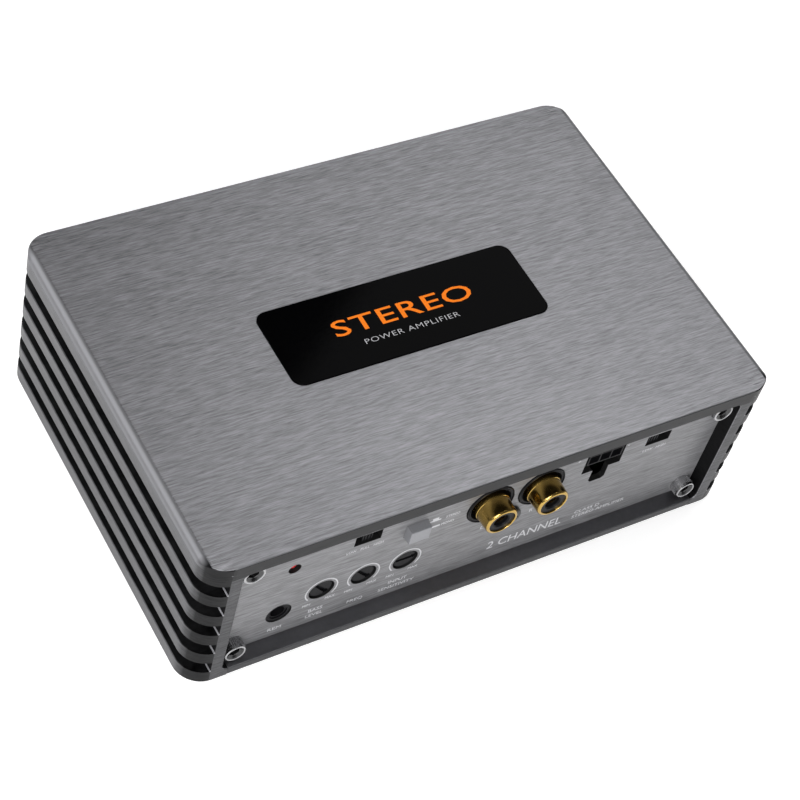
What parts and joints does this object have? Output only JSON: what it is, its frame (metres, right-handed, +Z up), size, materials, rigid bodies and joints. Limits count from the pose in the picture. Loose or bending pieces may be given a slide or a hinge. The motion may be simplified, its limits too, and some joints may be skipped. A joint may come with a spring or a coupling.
{
  "type": "car amplifier",
  "caption": "Flat rectangular amplifier with finned aluminium sides, recessed end panels, phono inputs, trimmer controls and rear screw terminals.",
  "frame": {"origin": "centre of the flat underside of the housing", "axes": "+X along the long side to the right when facing the controls, the control panel faces -Y, the terminals face +Y, +Z up out of the top"},
  "size_m": [0.15, 0.103, 0.0442],
  "materials": {
    "housing": "brushed along the long side, grey anodised, satin",
    "bottom_sheet": "plain satin sheet",
    "panel": "brushed, grey anodised, satin",
    "nameplate": "gloss black",
    "steel_screw": "plain steel",
    "black_screw": "black zinc",
    "black_plastic": "moulded, satin black",
    "button_grey": "moulded, light grey",
    "lamp": "clear red",
    "gold": "gold plated",
    "plated_steel": "nickel plated",
    "brass_post": "plain brass",
    "circuit_board": "solder mask green",
    "pad_rubber": "grey silicone",
    "capacitor_sleeve": "shrink sleeve",
    "copper_winding": "enamelled copper",
    "fuse_amber": "translucent amber",
    "white_ink": "screen-printed white lettering and dial arcs",
    "orange_ink": "screen-printed orange lettering"
  },
  "bodies": {
    "amplifier": {"bass_pot_body": "black_plastic", "blade_fuse": "fuse_amber", "board_link_header": "black_plastic", "board_screws": "steel_screw", "board_standoffs": "brass_post", "bottom_plate": "bottom_sheet", "bottom_plate_screws": "black_screw", "clamp_bar_screws": "steel_screw", "control_board": "circuit_board", "filter_capacitors": "capacitor_sleeve", "filter_switch_body": "black_plastic", "frequency_pot_body": "black_plastic", "front_panel": "panel", "front_panel_screws": "steel_screw", "fuse_holder": "black_plastic", "heatsink_housing": "housing", "input_connector": "black_plastic", "input_connector_pins": "plated_steel", "input_switch_body": "black_plastic", "level_pot_body": "black_plastic", "main_board": "circuit_board", "mode_button_spring": "plated_steel", "mode_switch_body": "black_plastic", "nameplate": "nameplate", "power_inductors": "copper_winding", "power_terminal_block": "black_plastic", "power_terminal_clamps": "plated_steel", "power_terminal_screws": "plated_steel", "power_transistors": "black_plastic", "rca_block": "black_plastic", "rca_block_screw": "black_screw", "rca_contacts": "gold", "rca_insulators": "black_plastic", "rca_left_barrel": "gold", "rca_right_barrel": "gold", "rear_panel": "panel", "rear_panel_screws": "steel_screw", "remote_jack": "black_plastic", "speaker_terminal_block": "black_plastic", "speaker_terminal_clamps": "plated_steel", "speaker_terminal_screws": "plated_steel", "status_led": "lamp", "thermal_pads": "pad_rubber", "transistor_clamp_bars": "plated_steel"},
    "bass_pot": {"bass_pot_rotor": "black_plastic"},
    "frequency_pot": {"frequency_pot_rotor": "black_plastic"},
    "level_pot": {"level_pot_rotor": "black_plastic"},
    "filter_slider": {"filter_switch_slider": "black_plastic"},
    "input_slider": {"input_switch_slider": "black_plastic"},
    "mode_button": {"mode_button": "button_grey"}
  },
  "joints": [
    {"name": "bass_pot_turn", "type": "hinge", "parent": "amplifier", "child": "bass_pot", "pos_m": [-0.041, -0.0433, 0.0154], "axis": [0, -1, 0], "range_deg": [-135, 135]},
    {"name": "frequency_pot_turn", "type": "hinge", "parent": "amplifier", "child": "frequency_pot", "pos_m": [-0.0301, -0.0433, 0.0154], "axis": [0, -1, 0], "range_deg": [-135, 135]},
    {"name": "level_pot_turn", "type": "hinge", "parent": "amplifier", "child": "level_pot", "pos_m": [-0.0191, -0.0433, 0.0154], "axis": [0, -1, 0], "range_deg": [-135, 135]},
    {"name": "filter_switch_slide", "type": "slide", "parent": "amplifier", "child": "filter_slider", "axis": [1, 0, 0], "range_m": [-0.002, 0.002]},
    {"name": "input_switch_slide", "type": "slide", "parent": "amplifier", "child": "input_slider", "axis": [1, 0, 0], "range_m": [0, 0.003]},
    {"name": "mode_button_press", "type": "slide", "parent": "amplifier", "child": "mode_button", "axis": [0, 1, 0], "range_m": [0, 0.0015], "stiffness_N_per_m": 300, "springref_m": -0.002, "deforming": ["mode_button_spring"]}
  ]
}
